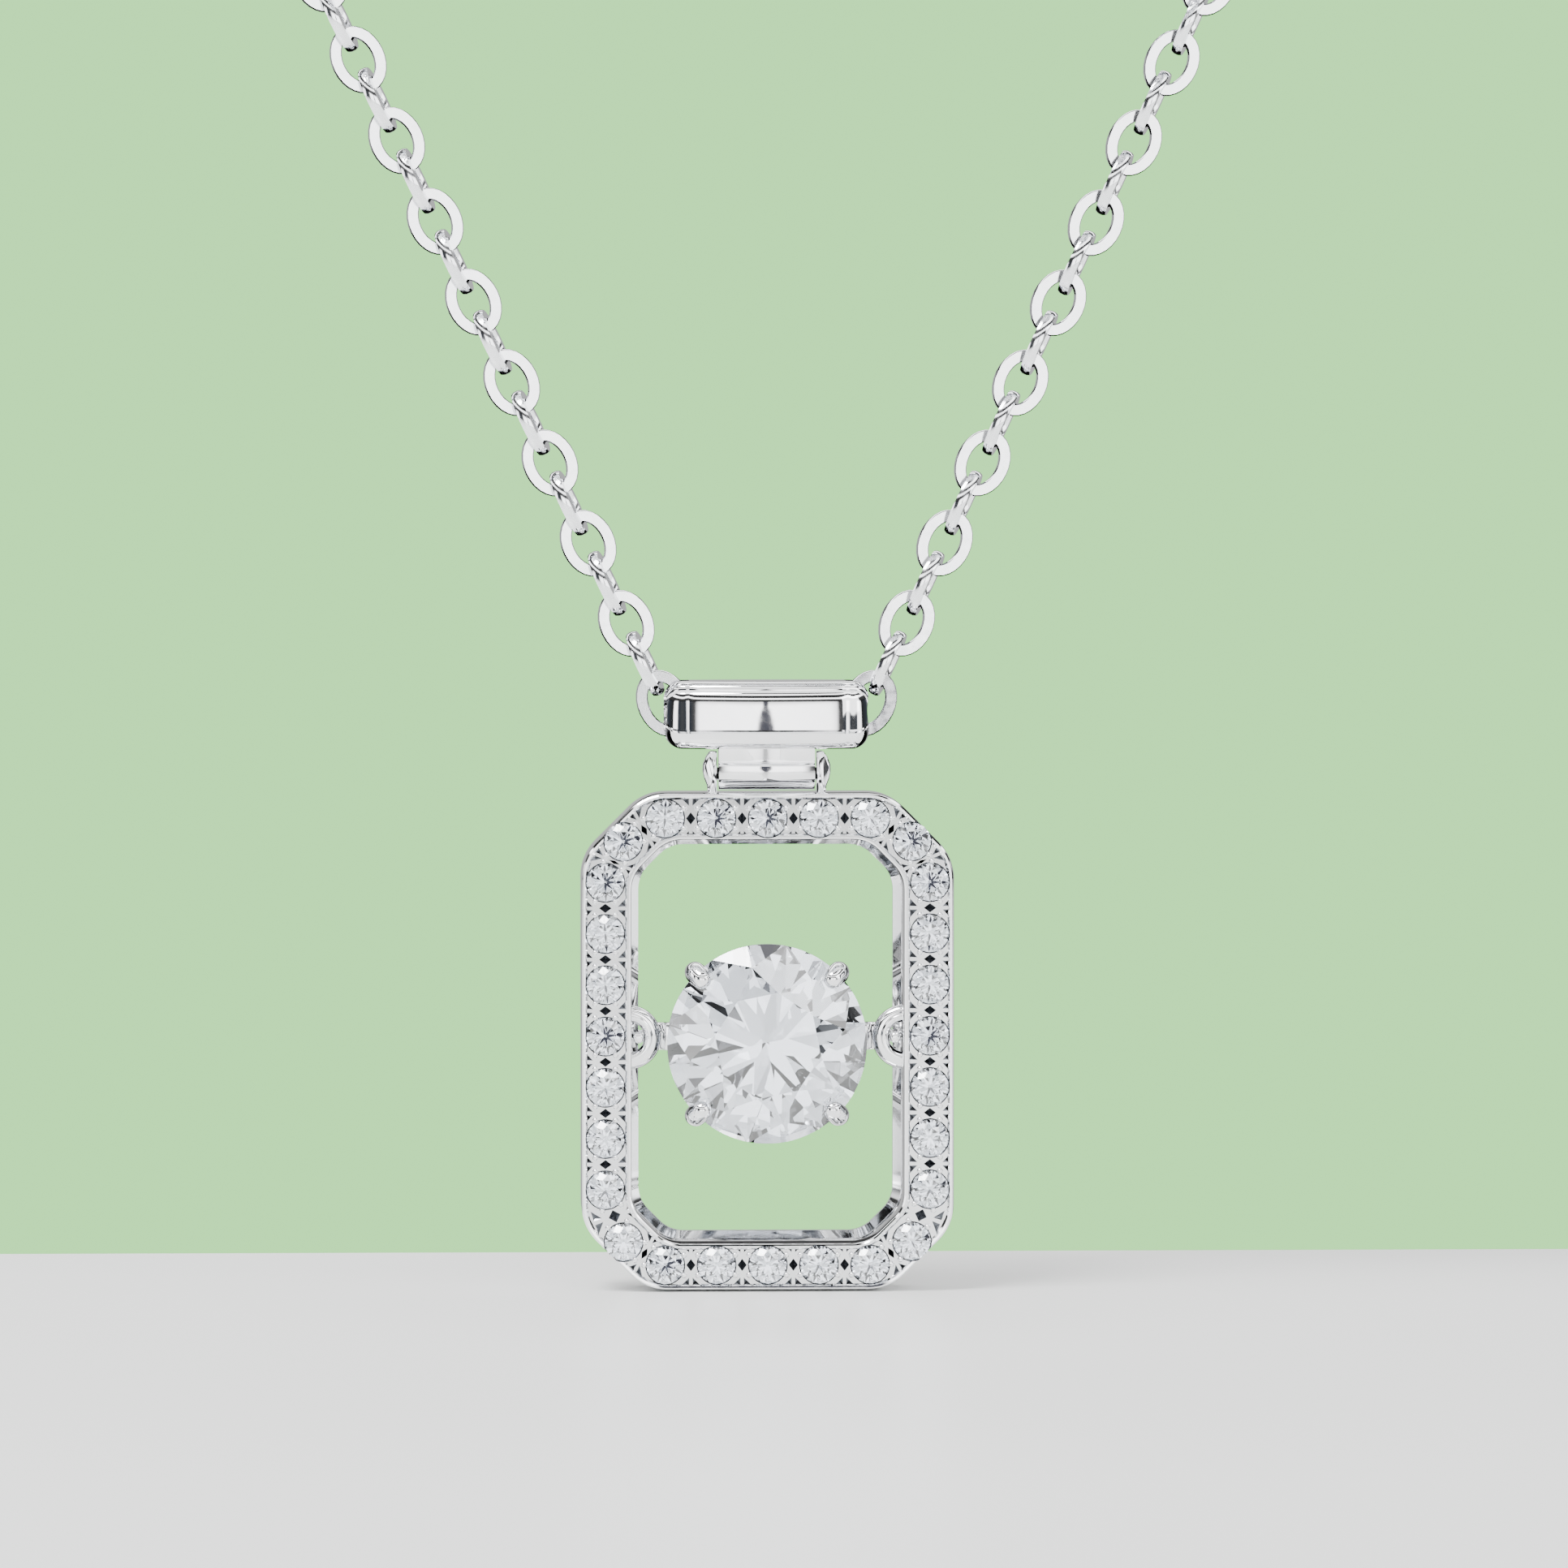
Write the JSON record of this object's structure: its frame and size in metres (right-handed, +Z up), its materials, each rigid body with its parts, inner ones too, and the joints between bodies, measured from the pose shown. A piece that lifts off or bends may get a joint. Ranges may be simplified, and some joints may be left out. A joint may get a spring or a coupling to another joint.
{
  "type": "pendant necklace",
  "caption": "Octagonal open-frame pendant with a swinging round stone, on a cable chain wound over two display pegs.",
  "frame": {"origin": "midway between the axes of the two display pegs that the chain is wound over", "axes": "+Z up, -Y the pendant's front, +X to the right as seen from the front"},
  "size_m": [0.0278, 0.0114, 0.0449],
  "materials": {
    "silver": "rhodium-plated silver, polished",
    "chain_silver": "rhodium-plated silver, flattened links",
    "stone": "colourless faceted stone"
  },
  "bodies": {
    "chain": {"left_strand": "chain_silver", "right_strand": "chain_silver", "bail_links": "chain_silver", "chain_winding": "chain_silver", "left_tail": "chain_silver", "right_tail": "chain_silver", "clasp_body": "silver", "clasp_pivot_pin": "silver", "clasp_spring": "silver", "clasp_jump_ring": "silver", "catch_ring": "silver"},
    "clasp_lever": {"clasp_lever": "silver"},
    "bail": {"cap_band": "silver", "neck_band": "silver"},
    "frame": {"frame_body": "silver", "hinge_staple": "silver", "left_eyelet": "silver", "right_eyelet": "silver", "top_stones": "stone", "bottom_stones": "stone", "left_stones": "stone", "right_stones": "stone", "corner_stones": "stone"},
    "setting": {"base_ring": "silver", "gallery_rail": "silver", "upper_left_prong": "silver", "upper_right_prong": "silver", "lower_left_prong": "silver", "lower_right_prong": "silver", "left_hook": "silver", "right_hook": "silver", "centre_stone": "stone"}
  },
  "joints": [
    {"name": "bail_swing", "type": "hinge", "parent": "chain", "child": "bail", "pos_m": [0, 0, -0.02365], "axis": [1, 0, 0], "range_deg": [-20, 20]},
    {"name": "frame_swing", "type": "hinge", "parent": "bail", "child": "frame", "pos_m": [0, 0, -0.02514], "axis": [1, 0, 0], "range_deg": [-30, 30]},
    {"name": "stone_rock", "type": "hinge", "parent": "frame", "child": "setting", "pos_m": [0, 0, -0.03174], "axis": [1, 0, 0], "range_deg": [-25, 25]},
    {"name": "lever_open", "type": "hinge", "parent": "chain", "child": "clasp_lever", "pos_m": [-0.00049, 0.00042, 0.00582], "axis": [0, 0, 1], "range_deg": [-18, 0], "stiffness_Nm_per_rad": 0.0005, "springref_deg": 17.19}
  ]
}
